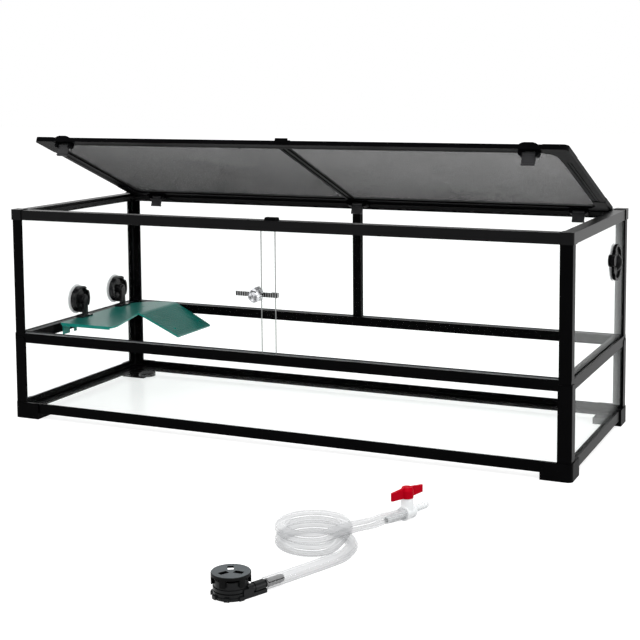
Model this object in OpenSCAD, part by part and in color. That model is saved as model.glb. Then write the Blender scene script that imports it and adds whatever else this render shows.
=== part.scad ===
// Reptile terrarium with a hinged screen lid, sliding glass doors,
// a basking platform and a coiled drain kit. Millimetres, +Z up.
// Origin: centre of the footprint on the floor. The doors face -Y.

/* [Tank] */
// width over the rails
tank_w = 1220; // [1000:10:1500]
// depth over the rails
tank_d = 476; // [440:2:600]
// height to the top of the top rails
tank_h = 453; // [420:1:560]
// underside of the middle rails
mid_rail_z = 165.5; // [140:0.5:180]
// height of the corner feet
foot_h = 34; // [30:1:40]

/* [Glass] */
// thickness of every pane
glass_t = 5; // [4:0.5:6]
// right edge of the inner door, from the centre
left_door_edge = 12; // [10:0.1:30]
// left edge of the outer door, from the centre
right_door_edge = -15; // [-20:0.1:-8]
// diameter of the drilled drain hole
drain_hole_d = 40; // [30:1:50]

/* [Lid] */
// how far the lid stands open
lid_open = 21; // [0:1:90]
// length of the flexing clip tabs below the lid
clip_drop = 23; // [22:1:30]

/* [Platform] */
// top of the basking deck
deck_z = 190; // [186:0.5:200]
// slope of the ramp
ramp_slope = 26; // [20:0.5:35]

/* [Drain kit] */
// outside diameter of the hose
hose_d = 19; // [17:0.5:19]
// centreline radius of the coil
coil_r = 53.3; // [53:0.1:55]
// rise from one turn to the next
coil_pitch = 20; // [20:0.1:21]

/* [Hidden] */
$fn = 64;
half_w = tank_w / 2;
half_d = tank_d / 2;
// profiles: wall, rail width and rail heights
wall = 4;
rail_w = 24;
rail_h = 21;
base_z = 13;
floor_z = 18;
floor_t = 6;
glass_z = floor_z + floor_t;
mid_top = mid_rail_z + 20.5;
top_z = tank_h - rail_h;
glass_top = tank_h - 9;
lower_top = mid_rail_z + 6;
upper_bottom = mid_top - 6;
ledge_w = 8;
ledge_top = tank_h - 5.8;
// planes of the panes, measured in from the outer face
pane_u = wall;
inner_u = wall + glass_t;
outer_door_u = 6.5;
inner_door_u = 14.5;
track_w = 18;
run_gap = 0.3;
door_bottom = mid_top - 5.7;
door_top = tank_h - 12;
// lock
lock_x = -24.4;
lock_z = 302;
bar_z = 298.4;
bar_h = 9.4;
// lid, drawn closed and then turned about its rear edge
lid_t = 9;
lid_z = tank_h - 4.7;
pivot_y = half_d - 29.5;
pivot_z = lid_z + lid_t / 2;
lid_hw = half_w - 25;
lid_front = -half_d + 27;
lid_rear = pivot_y + lid_t / 2;
lid_rail = 28;
cap_leg = 48;
cap_side_leg = 78;
cap_proud = 0.7;
screen_z = lid_z + 4.1;
screen_t = 0.8;
screen_in = 4;
screen_cols = 12;
screen_rows = 8;
screen_bar = 9;
clip_y_front = lid_front + 13.5;
clip_y_rear = lid_rear - 15;
clip_z = lid_z - 5.3;
clip_w = 26;
fit = 0.05;
clips_front = [-514.8, 511];
clips_rear = [-509.5, 14.5, 516.8];
// platform
deck_x0 = -576;
deck_x1 = -440;
deck_y0 = -122;
deck_y1 = 214;
deck_t = 4;
ramp_y0 = 48;
ramp_x = -478;
ramp_len = 105.3;
ramp_taper = [9, 7];
ramp_ribs = 17;
bend_r = 14;
cup_x = -half_w + wall + glass_t;
cups = [[-20, 227], [138, 228]];
// suction holder on the outside of the right glass
holder = [116, 356];
holder_x = half_w - wall;
// strainer and hose
strainer = [294.3, -943];
outlet_tip = [345, -881, 11];
outlet_turn = 66;
coil_c = [317, -711];
coil_from = 35;
coil_to = 665;
climb_from = 315.5;
climb_arc = 55.7;
coil_rings = 24;
hose_floor = hose_d / 2;
valve_at = [405.6, -549.6, 12];
valve_turn = 73;

// helpers

// box between two corners
module box(a, b) {
  translate(a) cube(b - a);
}

// rectangle with one corner rounded, the corner at the origin
module round_corner(lx, ly, r) {
  translate([r, 0]) square([lx - r, ly]);
  translate([0, r]) square([lx, ly - r]);
  translate([r, r]) circle(r);
}

// L of two legs around a rounded corner at the origin
module corner_l(lx, ly, t, r) {
  difference() {
    round_corner(lx, ly, r);
    translate([t, t]) square([lx, ly]);
  }
}

// places a shape drawn from the front left corner at all four corners
module four_corners(out) {
  for (sx = [0, 1]) {
    for (sy = [0, 1]) {
      mirror([sx, 0, 0]) mirror([0, sy, 0])
        translate([-half_w - out, -half_d - out, 0]) children();
    }
  }
}

// bar along X whose outer face is at y = -off; 2D child is (depth, height)
module front_bar(len, off) {
  translate([-len / 2, -off, 0])
    rotate([90, 0, 90]) linear_extrude(len) children();
}

module side_bars(len) {
  for (s = [-90, 90]) rotate([0, 0, s]) front_bar(len, half_w) children();
}

// rod along +X from the origin
module rod_x(r, len) {
  rotate([0, 90, 0]) cylinder(r = r, h = len);
}

// rod along +Y from the origin
module rod_y(r, len) {
  rotate([-90, 0, 0]) cylinder(r = r, h = len);
}

// glass

module bottom_pane() {
  difference() {
    box([-half_w + wall, -half_d + wall, floor_z],
        [half_w - wall, half_d - wall, glass_z]);
    translate([-520, 150, floor_z - 1])
      cylinder(d = drain_hole_d, h = floor_t + 2);
  }
}

module long_pane(y0, z0, z1) {
  box([-half_w + wall, y0, z0], [half_w - wall, y0 + glass_t, z1]);
}

module side_pane(x0, y0, z0, z1) {
  box([x0, y0, z0], [x0 + glass_t, half_d - inner_u, z1]);
}

module lower_front() { long_pane(-half_d + pane_u, glass_z, lower_top); }
module lower_rear() { long_pane(half_d - inner_u, glass_z, lower_top); }
module lower_left() {
  side_pane(-half_w + wall, -half_d + inner_u, glass_z, lower_top);
}
module lower_right() {
  side_pane(half_w - inner_u, -half_d + inner_u, glass_z, lower_top);
}
module upper_left() {
  side_pane(-half_w + wall, -half_d + wall, upper_bottom, glass_top);
}
module upper_right() {
  side_pane(half_w - inner_u, -half_d + wall, upper_bottom, glass_top);
}
module upper_rear_left() {
  box([-half_w + wall, half_d - inner_u, upper_bottom],
      [-2, half_d - pane_u, glass_top]);
}
module upper_rear_right() {
  box([0, half_d - inner_u, upper_bottom],
      [half_w - wall, half_d - pane_u, glass_top]);
}

// every fixed pane, taken out of the rails that hold it
module panes() {
  lower_front();
  lower_rear();
  lower_left();
  lower_right();
  upper_left();
  upper_right();
  long_pane(half_d - inner_u, upper_bottom, glass_top);
}

module bottom_glass() { color("honeydew") bottom_pane(); }
module lower_front_glass() { color("honeydew") lower_front(); }
module lower_rear_glass() { color("honeydew") lower_rear(); }
module lower_left_glass() { color("honeydew") lower_left(); }
module lower_right_glass() { color("honeydew") lower_right(); }
module upper_left_glass() { color("honeydew") upper_left(); }
module upper_right_glass() { color("honeydew") upper_right(); }
module upper_rear_left_glass() { color("honeydew") upper_rear_left(); }
module upper_rear_right_glass() { color("honeydew") upper_rear_right(); }

// frame

module feet() {
  color("black") four_corners(3.5) difference() {
    linear_extrude(foot_h) round_corner(60, 56, 10);
    translate([3.5, 3.5, base_z]) cube([60, 56, foot_h]);
  }
}

module base_profile() {
  translate([0, base_z]) square([rail_w, floor_z - base_z]);
  translate([0, base_z]) square([wall, foot_h - base_z]);
}

module bottom_rails_long() {
  color("black") for (s = [0, 1]) mirror([0, s, 0])
    front_bar(tank_w, half_d) base_profile();
}

module bottom_rails_short() {
  color("black") side_bars(tank_d - 2 * rail_w) base_profile();
  color("black") side_bars(tank_d - 2 * wall) intersection() {
    base_profile();
    translate([0, floor_z]) square([wall, foot_h]);
  }
}

module mid_profile() {
  difference() {
    translate([0, mid_rail_z]) square([rail_w, mid_top - mid_rail_z]);
    translate([12, mid_rail_z + 3]) square([9, mid_top - mid_rail_z - 6]);
  }
}

module mid_rail_front() {
  color("black") difference() {
    front_bar(tank_w, half_d) translate([0, mid_rail_z])
      square([rail_w, mid_top - mid_rail_z]);
    box([-half_w + wall, -half_d + wall, mid_top - 8],
        [half_w - wall, -half_d + wall + track_w, mid_top + 1]);
    panes();
  }
}

module mid_rail_rear() {
  color("black") difference() {
    mirror([0, 1, 0]) front_bar(tank_w, half_d) mid_profile();
    panes();
  }
}

module mid_rails_side() {
  color("black") difference() {
    side_bars(tank_d - 2 * rail_w) mid_profile();
    panes();
  }
}

// flange, outer wall and lid ledge of the top rails
module top_profile() {
  translate([0, glass_top]) square([rail_w, tank_h - glass_top]);
  translate([0, top_z]) square([wall, rail_h]);
}

module top_ledge(len, off) {
  front_bar(len, off) translate([rail_w - 1, ledge_top - 5])
    square([ledge_w + 1, 5]);
}

module top_rail_end_walls() {
  for (s = [0, 1]) mirror([s, 0, 0])
    box([half_w - wall, -half_d, top_z], [half_w, -half_d + rail_w, tank_h]);
}

module top_rail_front() {
  color("black") {
    front_bar(tank_w, half_d) top_profile();
    top_ledge(tank_w - 2 * rail_w, half_d);
    top_rail_end_walls();
  }
}

module top_rail_rear() {
  color("black") mirror([0, 1, 0]) {
    front_bar(tank_w, half_d) top_profile();
    front_bar(tank_w - 2 * inner_u, half_d)
      translate([inner_u, glass_top - 7]) square([3, 8]);
    top_ledge(tank_w - 2 * rail_w, half_d);
    top_rail_end_walls();
  }
}

module top_rails_side() {
  color("black") {
    side_bars(tank_d - 2 * rail_w) {
      top_profile();
      translate([inner_u, glass_top - 7]) square([3, 8]);
    }
    for (s = [-90, 90]) rotate([0, 0, s])
      top_ledge(tank_d - 2 * rail_w - 2 * ledge_w, half_w);
  }
}

// rounds the upper free corner of a leg that stops at height z
module top_round(x, z, r) {
  translate([x - r, -5, z - r]) difference() {
    cube([r + 1, 40, r + 1]);
    translate([0, -1, 0]) rod_y(r, 42);
  }
}

module lower_post() {
  leg = 26.5;
  top = mid_rail_z + 12.5;
  difference() {
    translate([0, 0, foot_h]) linear_extrude(top - foot_h)
      corner_l(leg, leg, wall + 1.5, 5);
    translate([1.5, 1.5, mid_rail_z]) cube([leg, leg, 30]);
    top_round(leg, top, 7);
    mirror([1, -1, 0]) top_round(leg, top, 7);
  }
}

module lower_posts() {
  color("black") four_corners(1.5) lower_post();
}

module upper_posts() {
  color("black") four_corners(0) translate([0, 0, mid_top])
    linear_extrude(top_z - mid_top) corner_l(24, 21, wall, 3);
}

module top_corner_caps() {
  color("black") four_corners(2) {
    translate([0, 0, top_z]) linear_extrude(rail_h)
      corner_l(26, 26, 2, 4);
    translate([0, 0, tank_h]) linear_extrude(1.5) round_corner(26, 26, 4);
  }
}

module rear_mid_post() {
  color("black") {
    box([-11, half_d - wall, mid_top], [9, half_d, top_z]);
    box([-11, half_d - inner_u - 4, mid_top], [9, half_d - inner_u, top_z]);
    box([-2, half_d - inner_u - 1, mid_top], [0, half_d - 1, top_z]);
  }
}

// doors and lock

module track_block(z0, z1) {
  box([-half_w + inner_u, -half_d + wall, z0],
      [half_w - inner_u, -half_d + wall + track_w, z1]);
}

module track_grooves(z0, z1) {
  for (u = [outer_door_u, inner_door_u])
    box([-half_w, -half_d + u - run_gap, z0],
        [half_w, -half_d + u + glass_t + run_gap, z1]);
}

module door_track_bottom() {
  color("gray") difference() {
    track_block(mid_top - 8, mid_top - 1.5);
    track_grooves(mid_top - 6, mid_top);
  }
}

module door_track_top() {
  color("gray") difference() {
    track_block(glass_top - 8, glass_top);
    track_grooves(glass_top - 9, glass_top - 1.5);
  }
}

module left_door_glass() {
  color("honeydew")
    box([-half_w + inner_u + 0.5, -half_d + inner_door_u, door_bottom],
        [left_door_edge, -half_d + inner_door_u + glass_t, door_top]);
}

module right_door_glass() {
  color("honeydew")
    box([right_door_edge, -half_d + outer_door_u, door_bottom],
        [half_w - inner_u - 0.5, -half_d + outer_door_u + glass_t, door_top]);
}

// flat toothed bar in front of the inner pane, hooked round its edge
module ratchet_bar() {
  bar_y = -half_d + inner_door_u;
  bar_x0 = -75;
  hook = 6;
  teeth = 14;
  tooth = 3;
  color("silver") {
    translate([0, bar_y, 0]) rotate([90, 0, 0]) linear_extrude(1.6)
      polygon(concat(
        [[left_door_edge + hook, bar_z],
         [left_door_edge + hook, bar_z + bar_h],
         [bar_x0 + teeth * tooth, bar_z + bar_h]],
        [for (i = [teeth - 1:-1:0]) for (k = [0, 1])
          [bar_x0 + i * tooth + (k == 0 ? tooth * 0.9 : 0),
           bar_z + bar_h - (k == 0 ? 1.2 : 0)]],
        [[bar_x0, bar_z]]));
    box([left_door_edge, bar_y - 1.6, bar_z],
        [left_door_edge + hook, bar_y + glass_t + 1.6, bar_z + bar_h]);
    box([left_door_edge - 10, bar_y + glass_t, bar_z],
        [left_door_edge + hook, bar_y + glass_t + 1.6, bar_z + bar_h]);
  }
}

module lock_outline() {
  translate([lock_x, lock_z]) circle(12.2);
  translate([lock_x + 7.9, lock_z + 5.9]) circle(7.4);
  translate([lock_x + 1, lock_z - 1]) rotate(35) square([12, 15]);
}

module lock_body() {
  front = -half_d - 10;
  back = -half_d + inner_door_u - 0.4;
  color("gainsboro") difference() {
    union() {
      translate([0, back, 0]) rotate([90, 0, 0])
        linear_extrude(back - front - 2) lock_outline();
      translate([lock_x, front + 2, lock_z]) rotate([90, 0, 0])
        cylinder(r1 = 11.4, r2 = 9.4, h = 2);
    }
    box([-45, back - 1.9, bar_z - 0.4], [-5, back + 1, bar_z + bar_h + 0.4]);
    // room for the edge of the outer pane
    box([right_door_edge - run_gap, -half_d + outer_door_u - run_gap,
         lock_z - 20], [right_door_edge + 20, back + 1, lock_z + 20]);
    translate([lock_x, front - 1, lock_z]) rod_y(5.6, 14);
  }
}

module lock_plug() {
  front = -half_d - 10;
  color("silver") difference() {
    translate([lock_x, front - 0.4, lock_z]) rod_y(5.6 - fit, 13);
    box([lock_x - 0.6, front - 1, lock_z - 3],
        [lock_x + 0.6, front + 4, lock_z + 3]);
  }
}

// lid

module lid_pose() {
  translate([0, pivot_y, pivot_z]) rotate([-lid_open, 0, 0])
    translate([0, -pivot_y, -pivot_z]) children();
}

// outer rim, screen frame and mesh groove: (depth, height above lid_z)
module lid_profile() {
  difference() {
    translate([0, lid_z]) union() {
      square([11.4, lid_t]);
      translate([11, 2.2]) square([3.5, lid_t - 4.4]);
      translate([13.8, 0.8]) square([lid_rail - 13.8, lid_t - 1.8]);
    }
    translate([18.4, lid_z - 1]) square([2, 3.2]);
    translate([lid_rail - screen_in, screen_z])
      square([screen_in + 1, screen_t]);
  }
}

// arched housing with the bores for the pins of a clip tab
module clip_housing(x, y, w) {
  z = clip_z;
  half = w / 2;
  translate([x, y, z]) difference() {
    union() {
      box([-half, -7, 0], [half, 7, 6.6]);
      box([-half + 6, -7, -6], [half - 6, 7, 1]);
      for (s = [-1, 1]) translate([s * (half - 6), -7, 0]) rod_y(6, 14);
    }
    box([-clip_w / 2 - run_gap, -8, -7], [clip_w / 2 + run_gap, 8, 3.3]);
    translate([-clip_w / 2 - 3, 0, 0]) rod_x(1.5 + fit, clip_w + 6);
  }
}

// flexing tab: barrel with pins, plate and hooked lip
module clip_tab(x, y, s) {
  translate([x, y, clip_z]) {
    translate([-clip_w / 2, 0, 0]) rod_x(3, clip_w);
    translate([-clip_w / 2 - 2.6, 0, 0]) rod_x(1.5, clip_w + 5.2);
    box([-clip_w / 2, -1.5, -clip_drop], [clip_w / 2, 1.5, 0]);
    translate([-clip_w / 2, 0, -clip_drop]) rotate([90, 0, 90])
      linear_extrude(clip_w)
      polygon([[s * 1.4, 0], [s * 4, 1.2], [s * 4, 2.4], [s * 1.4, 4.5]]);
  }
}

module latch_space() {
  box([-5.5, lid_front - 2, lid_z + 1.2], [22, lid_front + 12, lid_z + 13.6]);
}

// low arched boss on top of the front rail, over a clip
module clip_boss(x) {
  translate([x, lid_front + 15, lid_z + lid_t - 1]) rotate([90, 0, 0])
    linear_extrude(15)
    polygon([[-20, 0], [-13, 4], [-8, 5.2], [8, 5.2], [13, 4], [20, 0]]);
}

module lid_rail_front() {
  color("black") lid_pose() difference() {
    union() {
      front_bar(2 * (lid_hw - cap_leg), -lid_front) lid_profile();
      for (x = clips_front) {
        clip_housing(x, clip_y_front, 40);
        clip_boss(x);
      }
    }
    latch_space();
  }
}

module lid_rail_rear() {
  color("black") lid_pose() {
    difference() {
      mirror([0, 1, 0]) front_bar(2 * (lid_hw - cap_leg), lid_rear)
        lid_profile();
      box([-half_w, pivot_y, lid_z - 1], [half_w, half_d, lid_z + 20]);
    }
    translate([-lid_hw + cap_leg, pivot_y, pivot_z])
      rod_x(lid_t / 2, 2 * (lid_hw - cap_leg));
    difference() {
      union() {
        clip_housing(clips_rear[0], clip_y_rear, 40);
        clip_housing(clips_rear[1], clip_y_rear, 50);
        clip_housing(clips_rear[2], clip_y_rear, 40);
      }
      box([-half_w, 0, lid_z - cap_proud - 0.1],
          [-lid_hw + cap_leg, half_d, lid_z + 9]);
    }
  }
}

module lid_rails_side() {
  len = lid_rear - lid_front - 2 * cap_side_leg;
  mid = (lid_rear + lid_front) / 2;
  color("black") lid_pose() for (s = [0, 1]) mirror([s, 0, 0])
    translate([0, mid, 0]) rotate([0, 0, -90])
      front_bar(len, lid_hw) lid_profile();
}

module lid_crossbar() {
  color("black") lid_pose() difference() {
    box([-9, lid_front + lid_rail, lid_z + 0.8],
        [9, lid_rear - lid_rail, lid_z + lid_t - 1]);
    box([-2.6, lid_front, lid_z], [2.6, lid_rear, lid_z + 3]);
    for (s = [0, 1]) mirror([s, 0, 0])
      box([5, lid_front, screen_z], [10, lid_rear, screen_z + screen_t]);
  }
}

// corner cap seen in plan, outer corner at the origin
module cap_plan() {
  round_corner(cap_leg, lid_rail + 0.4, 10);
  round_corner(lid_rail + 0.4, cap_side_leg, 10);
  polygon([[lid_rail, lid_rail], [lid_rail + 12, lid_rail],
           [lid_rail, lid_rail + 18]]);
}

module cap_slabs() {
  x0 = -lid_hw - 0.4;
  for (s = [0, 1]) mirror([s, 0, 0]) {
    translate([x0, lid_front - 0.4, lid_z - cap_proud])
      linear_extrude(lid_t + 2 * cap_proud) cap_plan();
    intersection() {
      translate([x0, lid_rear + cap_proud, lid_z - cap_proud])
        mirror([0, 1, 0]) linear_extrude(lid_t + 2 * cap_proud) cap_plan();
      union() {
        box([-half_w, 0, lid_z - 5], [half_w, pivot_y, lid_z + 20]);
        translate([-half_w, pivot_y, pivot_z])
          rod_x(lid_t / 2 + cap_proud, tank_w);
      }
    }
  }
}

module lid_corner_caps() {
  color("black") lid_pose() difference() {
    cap_slabs();
    // ends of the rails that run into the caps
    box([-lid_hw + cap_leg, -half_d, 0], [lid_hw - cap_leg, half_d, 900]);
    box([-half_w, lid_front + cap_side_leg, 0],
        [half_w, lid_rear - cap_side_leg, 900]);
  }
}

// coarse lattice that stands for one panel of fine mesh
module screen(s) {
  x0 = -lid_hw + lid_rail;
  y0 = lid_front + lid_rail;
  pitch_x = (-9 - x0) / screen_cols;
  pitch_y = (lid_rear - lid_rail - y0) / screen_rows;
  color("dimgray") lid_pose() difference() {
    mirror([s, 0, 0]) difference() {
      box([x0 - screen_in, y0 - screen_in, screen_z],
          [-5, lid_rear - lid_rail + screen_in, screen_z + screen_t]);
      for (i = [0:screen_cols - 1]) for (j = [0:screen_rows - 1])
        translate([x0 + pitch_x * i + screen_bar / 2,
                   y0 + pitch_y * j + screen_bar / 2, screen_z - 1])
        cube([pitch_x - screen_bar, pitch_y - screen_bar, screen_t + 2]);
    }
    cap_slabs();
  }
}

module lid_mesh_left() { screen(0); }
module lid_mesh_right() { screen(1); }

module clip_front_left() {
  color("black") lid_pose() clip_tab(clips_front[0], clip_y_front, -1);
}
module clip_front_right() {
  color("black") lid_pose() clip_tab(clips_front[1], clip_y_front, -1);
}
module clip_rear_left() {
  color("black") lid_pose() clip_tab(clips_rear[0], clip_y_rear, 1);
}
module clip_rear_mid() {
  color("black") lid_pose() clip_tab(clips_rear[1], clip_y_rear, 1);
}
module clip_rear_right() {
  color("black") lid_pose() clip_tab(clips_rear[2], clip_y_rear, 1);
}

module lid_latch() {
  color("black") lid_pose() difference() {
    latch_space();
    // finger scoop in the top and a notch under the nose
    translate([-7, lid_front + 5, lid_z + 15]) rod_x(6, 30);
    box([-1.5, lid_front - 3, lid_z], [18, lid_front - 0.8, lid_z + 3]);
  }
}

module lid_keeper() {
  color("black") translate([-4, -half_d + 2, tank_h])
    rotate([90, 0, 90]) linear_extrude(24)
    polygon([[0, 0], [18, 0], [18, 4], [14, 6], [3, 6], [0, 3]]);
}

// suction holder on the right glass

// shallow cup revolved about +Z, rim on the plane z = 0
module cup_shape(r, h, stem_r, stem_h) {
  rotate_extrude()
    polygon([[0, h - 2.2], [r * 0.72, h - 3.4], [r - 4, 0.4], [r - 3, 0],
             [r, 0], [r, 1], [r * 0.78, h - 1.2], [stem_r + 2, h],
             [stem_r, h + 0.6], [stem_r, stem_h], [0, stem_h]]);
}

// ring housing about +Z with a bore, web and edge notches
module ring_shape(r, h, bore, notches, turn) {
  difference() {
    cylinder(r = r, h = h);
    translate([0, 0, h * 0.45]) difference() {
      cylinder(r = r - 5, h = h);
      cylinder(r = bore + 5, h = h);
    }
    translate([0, 0, -1]) cylinder(r = bore, h = h + 2);
    for (a = notches) rotate(a + turn)
      translate([r - 3.5, -5, h * 0.3]) cube([8, 10, h]);
  }
}

module at_holder(x) {
  translate([x, holder[0], holder[1]]) rotate([0, 90, 0]) children();
}

module side_cup_skirt() {
  color("azure") at_holder(holder_x) cup_shape(38, 4, 6, 4.6);
  color("azure") at_holder(holder_x + 4) cylinder(r = 5, h = 6);
}

module side_cup_ring() {
  color("black") at_holder(holder_x + 4.7) {
    ring_shape(37, 6, 5 + fit, [50, 130, 230, 310], 0);
    // rounded finger lobe on the near edge
    difference() {
      intersection() {
        translate([-8, -38.5, 1.5]) sphere(12.8);
        translate([-22, -52, -4]) cube([28, 24, 12.5]);
      }
      translate([0, 0, -5]) cylinder(r = 38.4, h = 5);
    }
  }
}

module side_cup_knob() {
  dome_r = 22.6;
  dome_h = 8.3;
  color("black") at_holder(holder_x + 10.7) {
    difference() {
      intersection() {
        translate([0, 0, dome_h - dome_r]) sphere(dome_r);
        cylinder(r = 17.5, h = 12);
      }
      // grip flutes round the dome
      for (a = [0:45:315]) rotate(a) translate([18.6, 0, -1])
        cylinder(r = 2.4, h = 12);
    }
  }
}

// basking platform

// outline of the deck and ramp seen from the front: (x, z)
function bend(r, a) = [ramp_x + r * sin(a),
                       deck_z - deck_t - bend_r + r * cos(a)];
function ramp_dir(l) = [l * cos(ramp_slope), -l * sin(ramp_slope)];
bend_steps = [for (i = [0:8]) i * ramp_slope / 8];

module ramp_outline() {
  top = [for (a = bend_steps) bend(bend_r + deck_t, a)];
  low = [for (i = [8:-1:0]) bend(bend_r, bend_steps[i])];
  end_top = top[8] + ramp_dir(ramp_len);
  end_low = low[0] + ramp_dir(ramp_len);
  polygon(concat([[ramp_x - 10, deck_z]], top, [end_top, end_low], low,
                 [[ramp_x - 10, deck_z - deck_t]]));
}

module deck_plan() {
  r = 90;
  w = deck_x1 - deck_x0;
  l = deck_y1 - deck_y0;
  translate([deck_x0, deck_y0]) {
    edge = ramp_x - deck_x0;
    step_y = ramp_y0 - deck_y0;
    polygon([[6, 0], [w - 6, 0], [w, 6], [w, 26],
             [edge, step_y], [edge, l], [r, l], [0, l - r], [0, 6]]);
    translate([6, 6]) circle(6);
    translate([w - 6, 6]) circle(6);
    intersection() {
      translate([r, l - r]) circle(r);
      square([r, l]);
    }
  }
}

module basking_deck() {
  ramp_w = deck_y1 - ramp_y0;
  top_end = bend(bend_r + deck_t, ramp_slope);
  color("teal") {
    difference() {
      union() {
        translate([0, 0, deck_z - deck_t]) linear_extrude(deck_t)
          deck_plan();
        // lip along the front edge
        box([deck_x0 + 6, deck_y0, deck_z - 7],
            [deck_x1 - 6, deck_y0 + 3, deck_z - 1]);
        // rib and two short legs along the glass
        box([deck_x0, deck_y0 + 8, deck_z - 9],
            [deck_x0 + 3, deck_y1 - 90, deck_z - 1]);
        box([deck_x0, deck_y0 + 10, deck_z - 28],
            [deck_x0 + 3, deck_y0 + 34, deck_z - 1]);
        box([deck_x0, deck_y0 + 53, deck_z - 28],
            [deck_x0 + 3, deck_y0 + 61, deck_z - 1]);
      }
      // drip slots
      for (p = [[-520, 130], [-494, 66]]) translate([p[0], p[1], deck_z - 9])
        cube([8, 4, 12]);
    }
    // ramp with its cross ribs, narrower at the low end
    intersection() {
      union() {
        translate([0, deck_y1, 0]) rotate([90, 0, 0])
          linear_extrude(ramp_w) ramp_outline();
        for (i = [0:ramp_ribs - 1]) translate([top_end[0], ramp_y0, top_end[1]])
          rotate([0, ramp_slope, 0])
          translate([3 + i * 5.8, 3, -1]) cube([2, ramp_w - 6, 2]);
      }
      linear_extrude(deck_z + 10) difference() {
        polygon([[ramp_x - 12, ramp_y0], [ramp_x, ramp_y0],
                 [ramp_x + ramp_len, ramp_y0 + ramp_taper[0]],
                 [ramp_x + ramp_len, deck_y1 - ramp_taper[1]],
                 [ramp_x, deck_y1], [ramp_x - 12, deck_y1]]);
        for (y = [ramp_y0 + 28, deck_y1 - 30])
          translate([ramp_x + 76, y]) square([5, 8]);
      }
    }
  }
}

module at_cup(i, d) {
  translate([cup_x + d, cups[i][0], cups[i][1]]) rotate([0, 90, 0])
    children();
}

module platform_cups() {
  color("azure") for (i = [0, 1]) at_cup(i, 0) cup_shape(33.5, 4, 7, 5);
}

module platform_ring_front() {
  color("black") at_cup(0, 5.3)
    ring_shape(30.5, 12, 5 + fit, [0, 90, 180, 270], 45);
}

module platform_ring_rear() {
  color("black") at_cup(1, 5.3)
    ring_shape(31, 12, 5 + fit, [0, 90, 180, 270], 45);
}

module platform_arms() {
  color("black") for (i = [0, 1]) {
    at_cup(i, 5) cylinder(r = 5, h = 16);
    at_cup(i, 17.6) cylinder(r = 12, h = 6.4);
    // small square boss set on its corner
    at_cup(i, 23) rotate(45) translate([-6.5, -6.5, 0]) cube([13, 13, 3]);
    box([cup_x + 20, cups[i][0] - 8, deck_z],
        [cup_x + 26, cups[i][0] + 8, cups[i][1]]);
    box([cup_x + 18, cups[i][0] - 10, deck_z],
        [cup_x + 38, cups[i][0] + 10, deck_z + 3]);
    box([cup_x + 22, cups[i][0] - 34, deck_z],
        [cup_x + 38, cups[i][0] - 10, deck_z + 6]);
  }
}

// drain kit

module at_strainer() {
  translate([strainer[0], strainer[1], 0]) children();
}

// along the outlet: +X of the child points to the tip, x = 0 at the tip
module at_outlet() {
  translate(outlet_tip) rotate([0, 0, outlet_turn]) children();
}

module strainer_cap() {
  color("dimgray") at_strainer() difference() {
    union() {
      translate([0, 0, 34]) cylinder(r1 = 29, r2 = 28.2, h = 1);
      translate([0, 0, 19]) cylinder(r = 29, h = 15);
    }
    translate([0, 0, 18]) cylinder(r = 25, h = 14);
    // three slots through the top
    for (a = [0, 120, 240]) rotate(a) translate([5.5, -4.5, 20])
      cube([14, 9, 20]);
    // windows between the prongs of the skirt
    for (a = [3:60:303]) rotate(a) translate([22, -10, 18])
      cube([12, 20, 12.5]);
  }
}

module strainer_body() {
  color("dimgray") {
    difference() {
      union() {
        at_strainer() {
          cylinder(r = 27.5, h = 4);
          for (a = [15:45:330]) rotate(a) translate([24, -4, 0])
            cube([5.5, 8, 5.5]);
          translate([0, 0, 4]) cylinder(r = 26.4, h = 5);
          translate([0, 0, 9]) cylinder(r = 24.4, h = 2);
          translate([0, 0, 11]) cylinder(r = 26.4, h = 4);
          translate([0, 0, 15]) cylinder(r = 25 - fit, h = 11);
        }
        at_outlet() {
          box([-76, -7, -10.8], [-58, 7, 3]);
          box([-60, -7.2, -10.8], [-34, 7.2, -5.2]);
          translate([-66, 0, 0]) rod_x(6.6, 31);
          translate([-36, 0, 0]) rod_x(5.3, 36);
          for (i = [0:4]) translate([-34 + i * 6.6, 0, 0])
            rotate([0, 90, 0]) cylinder(r1 = 6.5, r2 = 5.3, h = 5.4);
        }
      }
      at_strainer() translate([0, 0, 3]) cylinder(r = 21.5, h = 30);
      at_outlet() translate([-78, 0, 0]) rod_x(3.8, 80);
    }
  }
}

module strainer_nut() {
  color("dimgray") at_outlet() difference() {
    translate([-54.2, 0, 0]) intersection() {
      rod_x(7.6, 18);
      box([-1, -11, -4.9], [22, 11, 12]);
    }
    translate([-55, 0, 0]) rod_x(6.6 + fit, 20);
  }
}

// points of a route joined by a smooth curve, k pieces a span
function mix3(a, b, c, d, t) =
  0.5 * ((2 * b) + (c - a) * t + (2 * a - 5 * b + 4 * c - d) * t * t
         + (3 * b - a - 3 * c + d) * t * t * t);
function smooth(p, k) = concat(
  [for (i = [1:len(p) - 3]) for (j = [0:k - 1])
    mix3(p[i - 1], p[i], p[i + 1], p[i + 2], j / k)],
  [p[len(p) - 2]]);
function unit(v) = v / norm(v);
function heading(p, i) =
  i == 0 ? unit(p[1] - p[0])
  : i == len(p) - 1 ? unit(p[i] - p[i - 1])
  : unit(p[i + 1] - p[i - 1]);
// ring of n points square to the route at point i
function ring(p, i, r, n) =
  let (h = heading(p, i), s = unit(cross(h, [0, 0, 1])), u = cross(s, h))
  [for (k = [0:n - 1])
    p[i] + r * cos(360 * k / n) * s + r * sin(360 * k / n) * u];

module tube(p, r, n) {
  m = len(p);
  polyhedron(
    points = [for (i = [0:m - 1]) each ring(p, i, r, n)],
    faces = concat(
      [[for (k = [0:n - 1]) k]],
      [for (i = [0:m - 2]) for (k = [0:n - 1])
        [i * n + k, (i + 1) * n + k, (i + 1) * n + (k + 1) % n,
         i * n + (k + 1) % n]],
      [[for (k = [n - 1:-1:0]) (m - 1) * n + k]]));
}

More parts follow.
